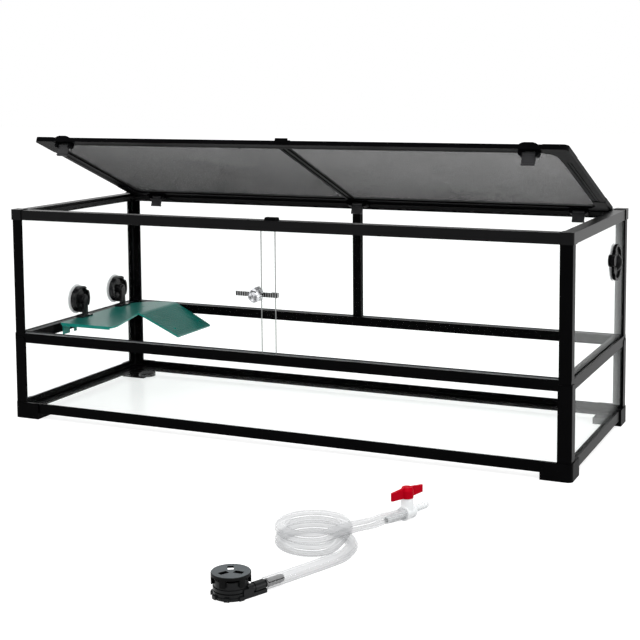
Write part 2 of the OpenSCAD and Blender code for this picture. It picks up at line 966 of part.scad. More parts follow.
// height of the coil at an angle: on the floor, then up over the lead
function ease(t) = t <= 0 ? 0 : t >= 1 ? 1 : t * t * (3 - 2 * t);
function coil_z(a) =
  hose_floor + coil_pitch * ease((a - climb_from) / climb_arc);
function coil_at(a) = [coil_c[0] + coil_r * cos(a),
                       coil_c[1] + coil_r * sin(a), coil_z(a)];
coil_count = round((coil_to - coil_from) / 360 * coil_rings);
coil_line = [for (i = [0:coil_count])
  coil_at(coil_from + (coil_to - coil_from) * i / coil_count)];

// route of the lead: along the barb, over the floor, into the coil
lead_dir = [cos(outlet_turn), sin(outlet_turn), 0];
lead_knots = [outlet_tip - 60 * lead_dir, outlet_tip - 33 * lead_dir,
  outlet_tip, [362, -837, 10.2], [377.4, -796, hose_floor],
  [389, -764, hose_floor], [388.7, -742, hose_floor],
  [384.6, -714, hose_floor], coil_line[0], coil_line[1]];
lead_line = smooth(lead_knots, 3);

// route of the tail: off the top of the coil and down to the valve
tail_dir = [cos(valve_turn), sin(valve_turn), 0];
tail_knots = [coil_line[coil_count - 1], coil_line[coil_count],
  [374.1, -735.7, 38.7], [391.7, -702.3, 38.5], [395.5, -655, 28.3],
  [396, -618, 23], [399.5, -582, 15.9],
  valve_at, valve_at + 20 * tail_dir];
tail_line = smooth(tail_knots, 3);

// least clear distance between stretches that are not neighbours
all_line = concat(lead_line, coil_line, tail_line);
run = [for (i = 0, s = 0; i < len(all_line);
  s = s + (i + 1 < len(all_line) ? norm(all_line[i + 1] - all_line[i]) : 0),
  i = i + 1) s];
least_gap = min([for (i = [0:len(all_line) - 1])
  for (j = [i + 1:len(all_line) - 1])
    if (run[j] - run[i] > 3 * hose_d) norm(all_line[i] - all_line[j])])
  - hose_d;
echo(hose_gap = least_gap, hose_length = run[len(run) - 1]);

module hose_lead() { color("whitesmoke") tube(lead_line, hose_d / 2, 10); }
module hose_coil() { color("whitesmoke") tube(coil_line, hose_d / 2, 6); }
module hose_tail() { color("whitesmoke") tube(tail_line, hose_d / 2, 10); }

// +X of the child runs along the valve away from the hose
module at_valve() {
  translate(valve_at) rotate([0, 0, valve_turn]) children();
}

valve_len = 24;
stem_x = 11;

module valve_body() {
  color("white") at_valve() difference() {
    union() {
      rod_x(12, 4);
      translate([3, 0, 0]) rod_x(11.3, valve_len - 6);
      translate([valve_len - 4, 0, 0]) rod_x(12, 4);
      translate([-44, 0, 0]) rod_x(5.6, 45);
      for (i = [0:3]) translate([-42 + i * 9, 0, 0])
        rotate([0, 90, 0]) cylinder(r1 = 5.6, r2 = 6.8, h = 6);
      translate([stem_x, 0, 0]) cylinder(r = 10.7, h = 21);
      translate([stem_x, 0, 21]) cylinder(r1 = 10.7, r2 = 9.9, h = 3.4);
    }
    // through bore and the bore for the stem
    translate([-45, 0, 0]) rod_x(4, valve_len + 54);
    translate([stem_x, 0, 6]) cylinder(r = 5 + fit, h = 30);
  }
}

wing = 34.5;
wing_turn = -6.3;

module valve_handle() {
  color("crimson") at_valve() translate([stem_x, 0, 0])
    rotate([0, 0, wing_turn]) {
      translate([0, 0, 8]) cylinder(r = 5, h = 20);
      translate([0, 0, 25]) cylinder(r = 11, h = 13);
      translate([0, 0, 38]) cylinder(r1 = 11, r2 = 8, h = 5);
      // two wings, taller at the hub than at their rounded ends
      translate([0, 2.6, 0]) rotate([90, 0, 0]) linear_extrude(5.2)
        polygon([[-wing, 26], [-9, 25.2], [9, 25.2], [wing, 27.4],
                 [wing, 39.4], [9, 42], [-9, 42], [-wing, 39.4]]);
      translate([-wing, 0, 26]) cylinder(r = 2.6, h = 13.4);
      translate([wing, 0, 27.4]) cylinder(r = 2.6, h = 12);
    }
}

module valve_barb() {
  color("white") at_valve() translate([valve_len, 0, 0]) difference() {
    union() {
      rod_x(4.9, 42);
      for (i = [0:5]) translate([3 + i * 6.6, 0, 0])
        rotate([0, 90, 0]) cylinder(r1 = 6.4, r2 = 4.9, h = 5);
    }
    translate([-1, 0, 0]) rod_x(3.6, 44);
  }
}

// output

feet();
bottom_rails_long();
bottom_rails_short();
mid_rail_front();
mid_rail_rear();
mid_rails_side();
top_rail_front();
top_rail_rear();
top_rails_side();
lower_posts();
upper_posts();
top_corner_caps();
rear_mid_post();
bottom_glass();
lower_front_glass();
lower_rear_glass();
lower_left_glass();
lower_right_glass();
upper_left_glass();
upper_right_glass();
upper_rear_left_glass();
upper_rear_right_glass();
door_track_bottom();
door_track_top();
left_door_glass();
right_door_glass();
ratchet_bar();
lock_body();
lock_plug();
lid_rail_front();
lid_rail_rear();
lid_rails_side();
lid_crossbar();
lid_corner_caps();
lid_mesh_left();
lid_mesh_right();
clip_front_left();
clip_front_right();
clip_rear_left();
clip_rear_mid();
clip_rear_right();
lid_latch();
lid_keeper();
side_cup_skirt();
side_cup_ring();
side_cup_knob();
basking_deck();
platform_cups();
platform_ring_front();
platform_ring_rear();
platform_arms();
strainer_cap();
strainer_body();
strainer_nut();
hose_lead();
hose_coil();
hose_tail();
valve_body();
valve_handle();
valve_barb();
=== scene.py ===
"""Reptile terrarium: camera, hose, finishes, screens and light."""
import math

import bpy
import numpy as np
from mathutils import Matrix


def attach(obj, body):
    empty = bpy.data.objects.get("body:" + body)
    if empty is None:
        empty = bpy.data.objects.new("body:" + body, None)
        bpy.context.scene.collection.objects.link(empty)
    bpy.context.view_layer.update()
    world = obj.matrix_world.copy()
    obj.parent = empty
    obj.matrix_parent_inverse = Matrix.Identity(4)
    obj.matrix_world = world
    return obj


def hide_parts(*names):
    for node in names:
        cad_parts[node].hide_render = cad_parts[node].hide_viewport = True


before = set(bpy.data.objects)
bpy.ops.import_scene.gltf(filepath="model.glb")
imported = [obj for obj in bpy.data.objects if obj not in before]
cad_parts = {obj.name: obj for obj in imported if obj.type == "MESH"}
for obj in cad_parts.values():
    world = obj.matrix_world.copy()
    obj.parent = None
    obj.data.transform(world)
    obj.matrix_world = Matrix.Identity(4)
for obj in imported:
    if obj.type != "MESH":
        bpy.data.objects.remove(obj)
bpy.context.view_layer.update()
scene = bpy.context.scene
MM = 0.001


# ---- camera: fitted to the tank's corners ----

YAW, PITCH, ROLL = 0.42579507, 0.09754139, -0.00713521
EYE = (1.1693447, -2.5570955, 0.7310509)
PHOTO_SIDE, FOCAL, OPTICAL_ROW = 640, 1331.2394, 208  # in pixels
SENSOR = 36


def camera():
    """Rotation = roll . pitch . base . yaw; base looks along +Y."""
    c, s = math.cos(YAW), math.sin(YAW)
    cp, sp = math.cos(PITCH), math.sin(PITCH)
    cr, sr = math.cos(ROLL), math.sin(ROLL)
    turn = np.array([[c, s, 0], [-s, c, 0], [0, 0, 1]])
    base = np.array([[1, 0, 0], [0, 0, -1], [0, 1, 0]])
    tilt = np.array([[1, 0, 0], [0, cp, -sp], [0, sp, cp]])
    bank = np.array([[cr, -sr, 0], [sr, cr, 0], [0, 0, 1]])
    place = np.eye(4)
    place[:3, :3] = (bank @ tilt @ base @ turn).T @ np.diag([1, -1, -1])
    place[:3, 3] = EYE
    lens = bpy.data.cameras.new("photo_camera")
    lens.sensor_fit = "HORIZONTAL"
    lens.sensor_width = SENSOR
    lens.lens = FOCAL / PHOTO_SIDE * SENSOR
    lens.shift_y = (OPTICAL_ROW - PHOTO_SIDE / 2) / PHOTO_SIDE
    lens.clip_end = 60
    cam = bpy.data.objects.new("photo_camera", lens)
    scene.collection.objects.link(cam)
    cam.matrix_world = Matrix(place.tolist())
    scene.camera = cam


camera()


# ---- mesh helpers ----

def piece(name, verts, faces, material, body, smooth=False):
    """A new piece from arrays of points (metres) and quads."""
    mesh = bpy.data.meshes.new(name)
    mesh.from_pydata(np.asarray(verts, float).tolist(), [],
                     np.asarray(faces, int).tolist())
    mesh.update()
    if smooth:
        mesh.polygons.foreach_set("use_smooth", [True] * len(mesh.polygons))
    mesh.materials.append(material)
    obj = bpy.data.objects.new(name, mesh)
    scene.collection.objects.link(obj)
    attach(obj, body)
    return obj


def ring_faces(rows, cols):
    """Quads of a rows x cols grid whose columns close on themselves."""
    r = np.arange(rows - 1)[:, None]
    c = np.arange(cols)[None, :]
    n = (c + 1) % cols
    return np.stack([r * cols + c, r * cols + n, (r + 1) * cols + n,
                     (r + 1) * cols + c], -1).reshape(-1, 4)


def pipe(path, outer, inner, sides):
    """Clear tube seen as one skin: rings of radius outer along the path,
    with a flat rim down to radius inner at both ends. A ring point is
    centre + r cos(a) side + r sin(a) up, where side is level and up is
    square to both side and path."""
    along = np.gradient(path, axis=0)
    along /= np.linalg.norm(along, axis=1)[:, None]
    side = np.cross(along, [0, 0, 1.0])
    side /= np.linalg.norm(side, axis=1)[:, None]
    up = np.cross(side, along)
    a = np.linspace(0, 2 * np.pi, sides, endpoint=False)[None, :, None]
    at = np.concatenate([[0], np.arange(len(path)), [len(path) - 1]])
    r = np.full(len(at), outer)
    r[[0, -1]] = inner
    r = r[:, None, None]
    rings = (path[at][:, None, :] + r * np.cos(a) * side[at][:, None, :]
             + r * np.sin(a) * up[at][:, None, :])
    return rings.reshape(-1, 3), ring_faces(len(at), sides)


# ---- shader helpers ----

def feed(tree, socket, value):
    """Links another node's output to a socket, or sets it to a value."""
    if isinstance(value, bpy.types.NodeSocket):
        tree.links.new(value, socket)
    else:
        socket.default_value = value


def node(tree, kind, **values):
    """New shader node. Keys that start with in_ name its inputs, the other
    keys its settings."""
    made = tree.nodes.new("ShaderNode" + kind)
    for key, value in values.items():
        if key.startswith("in_"):
            feed(tree, made.inputs[key[3:].replace("_", " ")], value)
        else:
            setattr(made, key, value)
    return made


def calc(tree, operation, *operands, **settings):
    """Result of a math node over outputs and plain numbers."""
    made = node(tree, "Math", operation=operation, **settings)
    for socket, value in zip(made.inputs, operands):
        feed(tree, socket, value)
    return made.outputs[0]


def span(tree, source, start, end, low, high, **settings):
    """start .. end of an output mapped to low .. high."""
    return node(tree, "MapRange", in_Value=source, in_From_Min=start,
                in_From_Max=end, in_To_Min=low, in_To_Max=high,
                **settings).outputs["Result"]


def blend(tree, factor, first, second):
    """Colour that goes from first to second as the factor rises."""
    return node(tree, "Mix", data_type="RGBA", in_Factor=factor,
                in_A=first, in_B=second).outputs["Result"]


def layer(tree, factor, under, over):
    """Shader that shows over in the share that factor gives."""
    made = node(tree, "MixShader")
    for socket, value in zip(made.inputs, (factor, under, over)):
        feed(tree, socket, value)
    return made.outputs[0]


def axes(tree, vector):
    """X, Y and Z outputs of a vector output."""
    return node(tree, "SeparateXYZ", in_Vector=vector).outputs


def stops_ramp(tree, source, stops):
    """Colour ramp through stops of (place, colour)."""
    ramp = node(tree, "ValToRGB", in_Fac=source)
    steps = ramp.color_ramp.elements
    while len(steps) < len(stops):
        steps.new(0.5)
    for step, (at, color) in zip(steps, stops):
        step.position = at
        step.color = color
    return ramp.outputs["Color"]


def cool_stops(stops, red, blue):
    """Stops of (place, grey) as colours; red and blue are scaled."""
    return [(at, (v * red, v, v * blue, 1)) for at, v in stops]


def material(name):
    """New node material and its tree."""
    mat = bpy.data.materials.new(name)
    mat.use_nodes = True
    return mat, mat.node_tree


def surface_only(name, build):
    """Material whose surface is the shader that build(tree) gives."""
    mat, tree = material(name)
    tree.nodes.clear()
    node(tree, "OutputMaterial", in_Surface=build(tree))
    return mat


# ---- materials ----

ROUGH_SWING = 0.06
BUMP_DEPTH = 0.0004
WAVE_TO_METRES = 0.314  # scale of a wave texture whose bands are 1 m apart
REFLECTION = 0.12  # most of the mirror image that a pane shows


def finish(name, color, rough, tone=0.08, grain=400.0, bump=0.0, side=None,
           teeth=None, **sockets):
    """Surface whose colour and roughness drift with noise in object space:
    colour = base x (1 - tone .. 1 + tone), roughness = rough +- swing, and a
    bump from the same fine noise. With side the faces that do not point up
    take that share of the colour, as painted light and shade: a top lit
    lighter than its shaded sides, or lips lit by light passing through.
    teeth = (pitch, grey) paints highlights on teeth as light notches across
    x at that pitch."""
    mat, tree = material(name)
    bsdf = tree.nodes["Principled BSDF"]
    coord = node(tree, "TexCoord")
    at = coord.outputs["Object"]
    fine = node(tree, "TexNoise", in_Vector=at, in_Scale=grain,
                in_Detail=3.0).outputs["Fac"]
    broad = node(tree, "TexNoise", in_Vector=at, in_Scale=grain / 40,
                 in_Detail=2.0).outputs["Fac"]
    tint = stops_ramp(tree, broad, [
        (0.3, [c * (1 - tone) for c in color] + [1]),
        (0.7, [min(1.0, c * (1 + tone)) for c in color] + [1])])
    # painted light and shade: colour set by which way the face points
    if side is not None:
        rise = span(tree, axes(tree, coord.outputs["Normal"])["Z"],
                    0.6, 0.88, 0, 1)
        tint = blend(tree, rise, [c * side for c in color] + [1], tint)
    # painted highlights: light notches stand in for light on the ratchet teeth
    if teeth is not None:
        pitch, grey = teeth
        wave = node(tree, "TexWave", bands_direction="X", in_Vector=at,
                    in_Scale=WAVE_TO_METRES / pitch).outputs["Fac"]
        notch = span(tree, wave, 0.72, 0.95, 0, 1)
        tint = blend(tree, notch, tint, (grey, grey, grey, 1))
    feed(tree, bsdf.inputs["Base Color"], tint)
    feed(tree, bsdf.inputs["Roughness"],
         span(tree, fine, 0, 1, rough - ROUGH_SWING, rough + ROUGH_SWING))
    if bump:
        relief = node(tree, "Bump", in_Height=fine, in_Strength=bump,
                      in_Distance=BUMP_DEPTH)
        feed(tree, bsdf.inputs["Normal"], relief.outputs["Normal"])
    for key, value in sockets.items():
        bsdf.inputs[key.replace("_", " ")].default_value = value
    return mat


def pane_glass(name, axis, grazing, rough, edge_tone):
    """Float glass: faces let light through with a reflection that grows at
    grazing angles up to REFLECTION x Fresnel(grazing). Cut edges are grey,
    pale where polished, and near-black where a rail holds them, as painted
    shade inside the rail; a face is an edge where |normal along the pane's
    thickness axis| < 0.5."""
    def build(tree):
        clear = node(tree, "BsdfTransparent", in_Color=(0.985, 0.99, 0.988, 1))
        mirror = node(tree, "BsdfGlossy", in_Roughness=rough,
                      in_Color=(0.97, 0.985, 0.98, 1))
        graze = node(tree, "LayerWeight", in_Blend=grazing)
        amount = span(tree, graze.outputs["Fresnel"], 0, 1, 0, REFLECTION)
        face = layer(tree, amount, clear.outputs[0], mirror.outputs[0])
        coord = node(tree, "TexCoord")
        speck = node(tree, "TexNoise", in_Vector=coord.outputs["Object"],
                     in_Scale=90.0, in_Detail=3.0)
        tint = stops_ramp(tree, speck.outputs["Fac"], [
            (0, [0.58 * c for c in edge_tone] + [1]), (1, [*edge_tone, 1])])
        edge = node(tree, "BsdfPrincipled", in_Roughness=0.12,
                    in_Base_Color=tint)
        normal = axes(tree, node(tree, "NewGeometry").outputs["True Normal"])
        flat = calc(tree, "ABSOLUTE", normal[axis])
        return layer(tree, calc(tree, "LESS_THAN", flat, 0.5), face,
                     edge.outputs[0])
    return surface_only(name, build)


def wavered(tree, source, scale, by):
    """The source plus a slow noise from -by to +by."""
    coord = node(tree, "TexCoord")
    slow = node(tree, "TexNoise", in_Vector=coord.outputs["Object"],
                in_Scale=scale, in_Detail=1.0)
    return calc(tree, "ADD", source,
                span(tree, slow.outputs["Fac"], 0, 1, -by, by))


def skinned(tree, through, cover, base):
    """Wall that lets the colour through pass, under a glossy skin of the
    colour base that covers the share cover."""
    clear = node(tree, "BsdfTransparent", in_Color=through)
    skin = node(tree, "BsdfPrincipled", in_Roughness=0.1, in_Base_Color=base)
    return layer(tree, cover, clear.outputs[0], skin.outputs[0])


def clear_vinyl(name, clear_stops, skin_stops):
    """Clear soft plastic seen against white. Everything follows the angle
    between surface and view, f = 1 - |cos|: low f faces the view, high f is
    near the outline. Each crossed wall lets clear_stops(f) of the light
    through and shows skin_stops(f) of a glossy white skin."""
    def build(tree):
        facing = node(tree, "LayerWeight", in_Blend=0.5).outputs["Facing"]
        f = wavered(tree, facing, 24.0, 0.003)
        through, cover = (stops_ramp(tree, f, cool_stops(s, 0.995, 1.004))
                          for s in (clear_stops, skin_stops))
        return skinned(tree, through, cover, (0.9, 0.91, 0.92, 1))
    return surface_only(name, build)


# painted highlight and refraction lines: these stops of q paint the hose's
# bright streak and its grey lines
HOSE_CLEAR = [(0.0, 0.80), (0.13, 0.79), (0.21, 0.62), (0.27, 0.66),
              (0.31, 0.98), (0.41, 0.98), (0.45, 0.60), (0.53, 0.70),
              (0.64, 0.80), (0.80, 0.82), (0.90, 0.70), (1.0, 0.80)]
HOSE_SKIN = [(0.0, 0.28), (0.27, 0.26), (0.31, 0.02), (0.41, 0.02),
             (0.45, 0.26), (1.0, 0.3)]


def clear_hose(name):
    """Clear hose lying on a white ground. q = |z of the surface normal| runs
    from the flanks to the top, so stops of q paint light along the hose: a
    bright streak at q = 0.36 as a painted highlight, between two thin grey
    lines painted in place of the bore's refraction edges, and a broad pale
    band. Towards the outline (facing above 0.62) the wall gets clearer."""
    def build(tree):
        coord = node(tree, "TexCoord")
        height = axes(tree, coord.outputs["Normal"])["Z"]
        q = wavered(tree, calc(tree, "ABSOLUTE", height), 30.0, 0.01)
        through, cover = (stops_ramp(tree, q, cool_stops(s, 0.996, 1.003))
                          for s in (HOSE_CLEAR, HOSE_SKIN))
        facing = node(tree, "LayerWeight", in_Blend=0.5).outputs["Facing"]
        rim = span(tree, facing, 0.62, 0.95, 0, 1)
        return skinned(tree, blend(tree, rim, through, (0.89, 0.895, 0.90, 1)),
                       cover, (0.9, 0.905, 0.915, 1))
    return surface_only(name, build)


def flange_with_painted_reflection(name, base):
    """Copy of a rail finish with a painted reflection: the inner flange of the
    rear right post is grey, x within 0.027 m of 0.577, y over 0.1 m, facing
    the front."""
    mat = base.copy()
    mat.name = name
    tree = mat.node_tree
    coat = tree.nodes["Principled BSDF"].inputs["Base Color"]
    tint = coat.links[0].from_socket
    coord = node(tree, "TexCoord")
    where = axes(tree, coord.outputs["Object"])
    facing = axes(tree, coord.outputs["Normal"])
    # painted reflection: this mask and the grey below paint a reflection on
    # the flange
    painted_reflection_mask = calc(tree, "MULTIPLY",
                calc(tree, "COMPARE", where["X"], 0.577, 0.027),
                calc(tree, "GREATER_THAN", where["Y"], 0.1))
    painted_reflection_mask = calc(tree, "MULTIPLY", painted_reflection_mask,
                calc(tree, "LESS_THAN", facing["Y"], -0.5))
    feed(tree, coat, blend(tree, painted_reflection_mask, tint, (0.42, 0.42, 0.425, 1)))
    return mat


black_rail = finish("black_rail", (0.0011, 0.0011, 0.0013), 0.3, tone=0.2,
                    grain=900, bump=0.08, Specular_IOR_Level=0.02)
black_top = finish("black_top", (0.003, 0.003, 0.0034), 0.34, tone=0.2,
                   grain=900, bump=0.08, Specular_IOR_Level=0.1)
black_mould = finish("black_mould", (0.0018, 0.0018, 0.002), 0.4, tone=0.2,
                     grain=1400, bump=0.2, Specular_IOR_Level=0.015)
black_gloss = finish("black_gloss", (0.0035, 0.0035, 0.004), 0.24, tone=0.2,
                     grain=500, bump=0.1, Specular_IOR_Level=0.02)
ring_black = finish("ring_black", (0.011, 0.011, 0.012), 0.24, tone=0.2,
                    grain=500, bump=0.1, Specular_IOR_Level=0.15)
track_grey = finish("track_grey", (0.16, 0.165, 0.17), 0.35, grain=700,
                    bump=0.1)
lid_black = finish("lid_black", (0.0022, 0.0022, 0.0026), 0.4, tone=0.18,
                   grain=1200, bump=0.15, Specular_IOR_Level=0.012)
# painted highlight: the clips' black is raised to a dark grey in place of
# their highlights
clip_black_painted_sheen = finish("clip_black_painted_sheen", (0.034, 0.034, 0.036), 0.3, tone=0.2,
                    grain=1200, bump=0.1, Specular_IOR_Level=0.12)
# painted light and shade: the right screen is a lighter copy of the same wire,
# and the broad noise (tone) paints soft patches of shade
wire_shaded_left = finish("screen_wire_left", (0.040, 0.0405, 0.041), 0.5,
                   tone=0.6, grain=200, Specular_IOR_Level=0.03)
wire_lit_right = finish("screen_wire_right", (0.062, 0.0625, 0.063), 0.5,
                    tone=0.35, grain=200, Specular_IOR_Level=0.03)
# painted highlights: bevel faces in these greys draw thin light lines along
# sharp edges
edge_glint = finish("edge_glint", (0.55, 0.555, 0.565), 0.22, tone=0.4,
                    grain=300, Specular_IOR_Level=0.5)
edge_dim = finish("edge_dim", (0.09, 0.091, 0.094), 0.3, tone=0.4,
                  grain=300, Specular_IOR_Level=0.3)
# painted reflection: the strong broad noise (tone 0.85) darkens and lightens
# the chrome's colour in place of the room it mirrors
chrome_painted_reflections = finish("lock_chrome", (0.44, 0.445, 0.46), 0.14, tone=0.85,
                grain=5000, Metallic=1.0)
# painted reflection and highlights: near-black for the dark room the steel
# mirrors, light notches for its lit teeth
bar_steel = finish("bar_steel", (0.014, 0.0142, 0.015), 0.3, tone=0.5,
                   grain=5000, teeth=(0.0052, 0.45), Specular_IOR_Level=0.3)
clear_cup = clear_vinyl("cup_vinyl", [(0.0, 0.95), (0.6, 0.85), (1.0, 0.6)],
                        [(0.0, 0.55), (0.6, 0.6), (1.0, 0.75)])
# painted light: faces that do not point up are 2.2 times lighter, as lips lit
# by light passing through the deck
teal = finish("deck_teal", (0.006, 0.138, 0.113), 0.3, tone=0.12, grain=260,
              bump=0.1, side=2.2, Alpha=0.94, Specular_IOR_Level=0.18)
# painted light and shade: a grey lit top over near-black shaded sides
strainer_grey = finish("strainer_grey", (0.095, 0.105, 0.110), 0.42,
                       tone=0.1, grain=900, bump=0.12, side=0.02,
                       Specular_IOR_Level=0.06)
strainer_dark = finish("strainer_dark", (0.005, 0.0055, 0.006), 0.32,
                       tone=0.15, grain=900, bump=0.15,
                       Specular_IOR_Level=0.14)
pipe_white = finish("pipe_white", (0.96, 0.985, 0.995), 0.24, tone=0.02,
                    grain=500, bump=0.04, Specular_IOR_Level=0.4)
handle_red = finish("handle_red", (0.50, 0.001, 0.012), 0.34, tone=0.08,
                    grain=500, bump=0.05, Specular_IOR_Level=0.02)
hose_clear = clear_hose("hose_clear")
# rail finish with a painted reflection on the rear right post's inner flange
post_painted_reflection = flange_with_painted_reflection("post_painted_reflection", black_rail)
# painted shade: edges inside a rail get a near-black tone
shaded_in_rail, polished = (0.02, 0.021, 0.021), (0.42, 0.435, 0.43)
glass_x = pane_glass("glass_side", 0, 0.2, 0.3, shaded_in_rail)
glass_y = pane_glass("glass_long", 1, 0.12, 0.2, shaded_in_rail)
glass_z = pane_glass("glass_floor", 2, 0.12, 0.2, shaded_in_rail)
glass_door = pane_glass("glass_door", 1, 0.12, 0.2, polished)

# finish, finish of the painted highlight lines on the sharp edges if they
# show, and the nodes that wear them
DRESS = [
    (black_mould, edge_dim, "feet"),
    (black_mould, None, "lid_latch lid_keeper"),
    (black_rail, edge_dim, "bottom_rails_long bottom_rails_short "
                           "mid_rail_front mid_rails_side"),
    (black_rail, None, "mid_rail_rear rear_mid_post"),
    (black_top, edge_glint, "top_rail_front top_rails_side "
                            "top_corner_caps"),
    (black_top, edge_dim, "top_rail_rear"),
    (post_painted_reflection, None, "lower_posts upper_posts"),
    (lid_black, edge_glint, "lid_rail_front lid_rail_rear lid_rails_side "
                            "lid_crossbar"),
    (lid_black, edge_dim, "lid_corner_caps"),
    (clip_black_painted_sheen, edge_glint, "clip_front_left clip_front_right "
                             "clip_rear_left clip_rear_mid clip_rear_right"),
    (wire_shaded_left, None, "lid_mesh_left"),
    (wire_lit_right, None, "lid_mesh_right"),
    (glass_x, None, "lower_left_glass lower_right_glass "
                    "upper_left_glass upper_right_glass"),
    (glass_y, None, "lower_front_glass lower_rear_glass "
                    "upper_rear_left_glass upper_rear_right_glass"),
    (glass_z, None, "bottom_glass"),
    (glass_door, None, "left_door_glass right_door_glass"),
    (track_grey, None, "door_track_bottom door_track_top"),
    (bar_steel, None, "ratchet_bar"),
    (chrome_painted_reflections, None, "lock_body lock_plug"),
    (clear_cup, None, "side_cup_skirt platform_cups"),
    (black_gloss, None, "side_cup_ring side_cup_knob"),
    (teal, None, "basking_deck"),
    (ring_black, None, "platform_ring_front platform_ring_rear "
                       "platform_arms"),
    (strainer_grey, None, "strainer_cap"),
    (strainer_dark, None, "strainer_body strainer_nut"),
    (pipe_white, None, "valve_body valve_barb"),
    (handle_red, None, "valve_handle"),
]
EDGE_WIDTH, EDGE_ANGLE = 0.7 * MM, math.radians(50)


def dress(obj, mat, edge):
    """Gives a CAD node its finish. With an edge finish its sharp edges are
    bevelled in it, which draws them as thin painted highlight lines."""
    if obj.data.materials:
        obj.data.materials[0] = mat
    else:
        obj.data.materials.append(mat)
    if edge:
        obj.data.materials.append(edge)
        # the bevel faces take the edge finish: painted highlight lines
        highlight_bevel = obj.modifiers.new("painted_highlight_bevel", "BEVEL")
        highlight_bevel.width = EDGE_WIDTH
        highlight_bevel.segments = 1
        highlight_bevel.limit_method = "ANGLE"
        highlight_bevel.angle_limit = EDGE_ANGLE
        highlight_bevel.material = 1


for mat, edge, names in DRESS:
    for name in names.split():
        dress(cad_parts[name], mat, edge)


# ---- hose: repeats the route of the part's source, in millimetres ----

HOSE_D, BORE_D = 19.0, 13.8
FLOOR_Z = HOSE_D / 2  # height of the hose's centre where it lies flat
COIL_C, COIL_R = np.array([317.0, -711.0]), 53.3
COIL_FROM, COIL_TO, COIL_STEPS = 35.0, 665.0, 42
CLIMB, CLIMB_FROM, CLIMB_ARC = 20.0, 315.5, 55.7
BARB_TIP, BARB_TURN = np.array([345.0, -881, 11]), math.radians(66)
VALVE_END, VALVE_TURN = np.array([405.6, -549.6, 12]), math.radians(73)
LEAD = [[362, -837, 10.2], [377.4, -796, FLOOR_Z], [389, -764, FLOOR_Z],
        [388.7, -742, FLOOR_Z], [384.6, -714, FLOOR_Z]]
TAIL = [[374.1, -735.7, 38.7], [391.7, -702.3, 38.5], [395.5, -655, 28.3],
        [396, -618, 23], [399.5, -582, 15.9]]


def coil_points(deg):
    """Circle in plan; the height eases up by CLIMB over CLIMB_ARC degrees
    as t t (3 - 2 t)."""
    t = np.clip((deg - CLIMB_FROM) / CLIMB_ARC, 0, 1)
    a = np.radians(deg)
    return np.stack([COIL_C[0] + COIL_R * np.cos(a),
                     COIL_C[1] + COIL_R * np.sin(a),
                     FLOOR_Z + CLIMB * t * t * (3 - 2 * t)], -1)


def smooth_route(knots, k):
    """Catmull-Rom curve through the inner knots, k points a span."""
    p = np.asarray(knots, float)
    t = (np.arange(k) / k)[:, None]
    spans = []
    for a, b, c, d in zip(p[:-3], p[1:-2], p[2:-1], p[3:]):
        spans.append(0.5 * (2 * b + (c - a) * t
                            + (2 * a - 5 * b + 4 * c - d) * t ** 2
                            + (3 * b - a - 3 * c + d) * t ** 3))
    spans.append(p[-2:-1])
    return np.concatenate(spans)


def level(turn):
    """Level unit vector at that turn from +X."""
    return np.array([math.cos(turn), math.sin(turn), 0])


def hose_route(per_span, in_coil):
    """Lead along the barb, coil, and tail to the valve as one line, with
    per_span points between two knots and in_coil points in the coil."""
    step = (COIL_TO - COIL_FROM) / COIL_STEPS
    into = coil_points(np.array([COIL_FROM, COIL_FROM + step]))
    out = coil_points(np.array([COIL_TO - step, COIL_TO]))
    barb = level(BARB_TURN)
    lead = [BARB_TIP - 60 * barb, BARB_TIP - 33 * barb, BARB_TIP, *LEAD,
            *into]
    tail = [*out, *TAIL, VALVE_END, VALVE_END + 20 * level(VALVE_TURN)]
    coil = coil_points(np.linspace(COIL_FROM, COIL_TO, in_coil))
    return np.concatenate([smooth_route(lead, per_span)[:-1], coil,
                           smooth_route(tail, per_span)[1:]]) * MM


def relax(path, passes):
    """Each pass moves the inner points to a quarter, a half and a quarter
    of their neighbours and themselves."""
    for _ in range(passes):
        path[1:-1] = (path[:-2] + 2 * path[1:-1] + path[2:]) / 4
    return path


route = relax(hose_route(10, 130), 10)
route[:, 2] = np.maximum(route[:, 2], FLOOR_Z * MM)
verts, faces = pipe(route, HOSE_D / 2 * MM, BORE_D / 2 * MM, 28)
hose = piece("drain_hose", verts, faces, hose_clear, "tank", True)
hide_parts("hose_lead", "hose_coil", "hose_tail")


# ---- lid screens: values of the part's source, in metres ----

LID_OPEN = math.radians(21)
PIVOT = np.array([0.0, 0.2085, 0.4528])
SCREEN_Y = (-0.183, 0.185)
SCREEN_Z = 0.4528
PITCH_OF_WIRES, WIRE = 0.00123, 0.00031
BAR_FACES = np.array([[0, 1, 5, 4], [1, 2, 6, 5], [2, 3, 7, 6], [3, 0, 4, 7],
                      [3, 2, 1, 0], [4, 5, 6, 7]])


def open_lid(p):
    """Turns points drawn on the closed lid to its open rest pose."""
    d = p - PIVOT
    c, s = math.cos(-LID_OPEN), math.sin(-LID_OPEN)
    return PIVOT + np.stack([d[..., 0], d[..., 1] * c - d[..., 2] * s,
                             d[..., 1] * s + d[..., 2] * c], -1)


